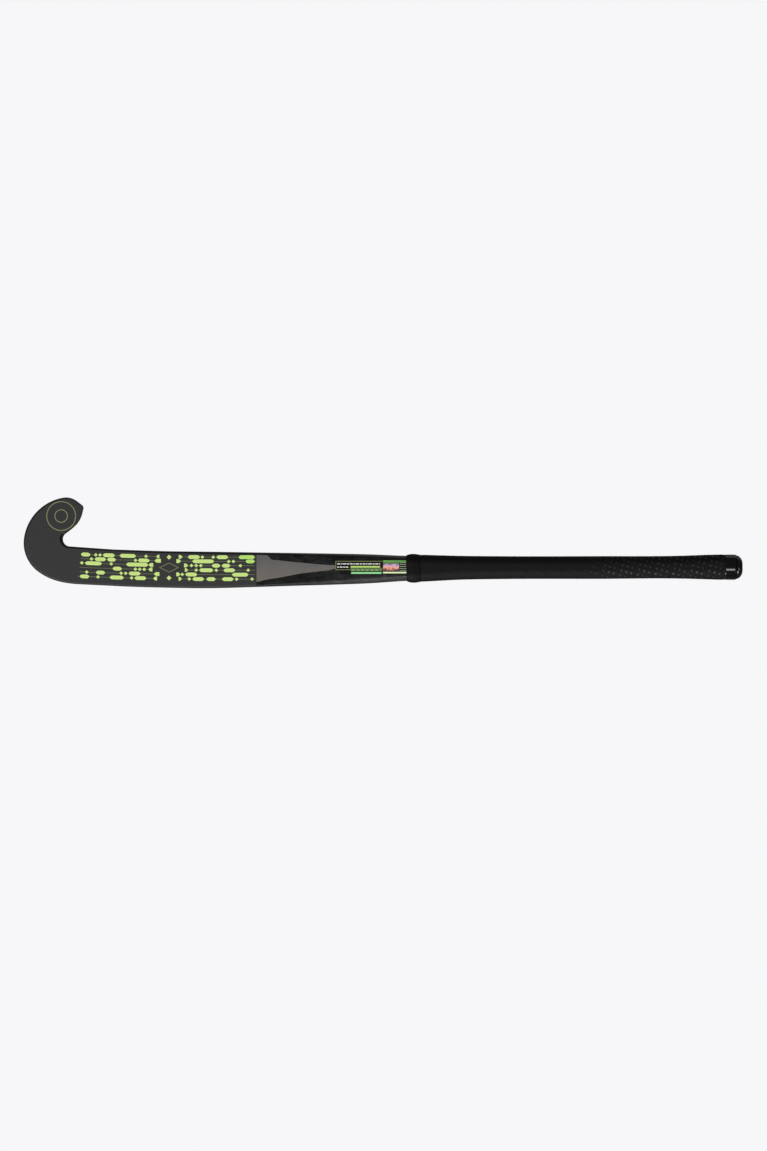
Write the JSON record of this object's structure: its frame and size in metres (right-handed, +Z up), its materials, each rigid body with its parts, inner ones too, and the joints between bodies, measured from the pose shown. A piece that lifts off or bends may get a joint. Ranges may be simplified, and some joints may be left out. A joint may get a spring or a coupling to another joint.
{
  "type": "field hockey stick",
  "caption": "Adult field hockey stick with a tight J hook, flat playing face, gently bowed flattened shaft, wound perforated grip and domed butt cap.",
  "frame": {"origin": "bottom centre of the stick's bounding box, on the ground under the belly of its back", "axes": "+X runs from the head to the butt, +Y towards the side the toe turns to, +Z up, out of the flat playing face"},
  "size_m": [0.9272, 0.117, 0.0462],
  "materials": {
    "carbon_skin": "satin",
    "foam": "matte",
    "carbon_tube": "satin",
    "cushion_tape": "matte",
    "grip_tape": "matte",
    "end_band": "satin",
    "gloss_black": "gloss",
    "matte_charcoal": "matte",
    "lime_ink": "matte",
    "olive_ink": "matte",
    "satin_grey": "satin",
    "label_ink": "satin",
    "green_ink": "satin",
    "iridescent_film": "gloss"
  },
  "bodies": {
    "root": {"outer_shell": "carbon_skin", "head_core": "foam", "toe_side_tube": "carbon_tube", "heel_side_tube": "carbon_tube", "handle_foam": "foam", "grip_underlay": "cushion_tape", "grip_tape": "grip_tape", "grip_end_band": "end_band", "grip_collar": "gloss_black", "butt_cap": "gloss_black", "face_print": "matte_charcoal", "pattern_decal": "lime_ink", "toe_emblem": "olive_ink", "wedge_decal": "satin_grey", "spec_label": "label_ink", "stripe_decal": "green_ink", "security_sticker": "iridescent_film"}
  },
  "joints": []
}
